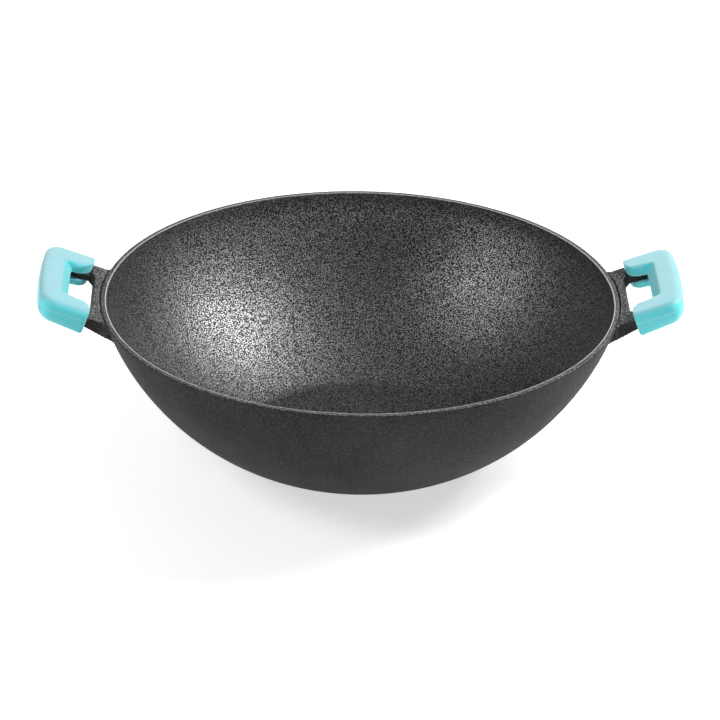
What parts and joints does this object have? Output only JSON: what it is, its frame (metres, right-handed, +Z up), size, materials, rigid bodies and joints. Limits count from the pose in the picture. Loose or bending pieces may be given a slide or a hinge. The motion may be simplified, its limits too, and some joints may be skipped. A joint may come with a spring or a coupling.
{
  "type": "kadai",
  "caption": "Deep cast-iron cooking bowl with a flat base and two loop handles cast on opposite sides, each in a pull-off silicone grip",
  "frame": {"origin": "the middle of the flat base, on the surface the bowl stands on", "axes": "+Z up, +X from the left loop handle to the right one, +Y away from a cook who has a handle at each hand"},
  "size_m": [0.3484, 0.2795, 0.103],
  "materials": {
    "seasoned_iron": "oil-seasoned black, pebbled inside, fine matte grain outside",
    "aqua_silicone": "soft satin, slightly translucent aqua"
  },
  "bodies": {
    "pot": {"cast_bowl": "seasoned_iron"},
    "left_grip_body": {"left_grip": "aqua_silicone"},
    "right_grip_body": {"right_grip": "aqua_silicone"}
  },
  "joints": [
    {"name": "left_grip_pull", "type": "slide", "parent": "pot", "child": "left_grip_body", "axis": [-0.9397, 0, 0.342], "range_m": [0, 0.04]},
    {"name": "right_grip_pull", "type": "slide", "parent": "pot", "child": "right_grip_body", "axis": [0.9397, 0, 0.342], "range_m": [0, 0.04]}
  ]
}
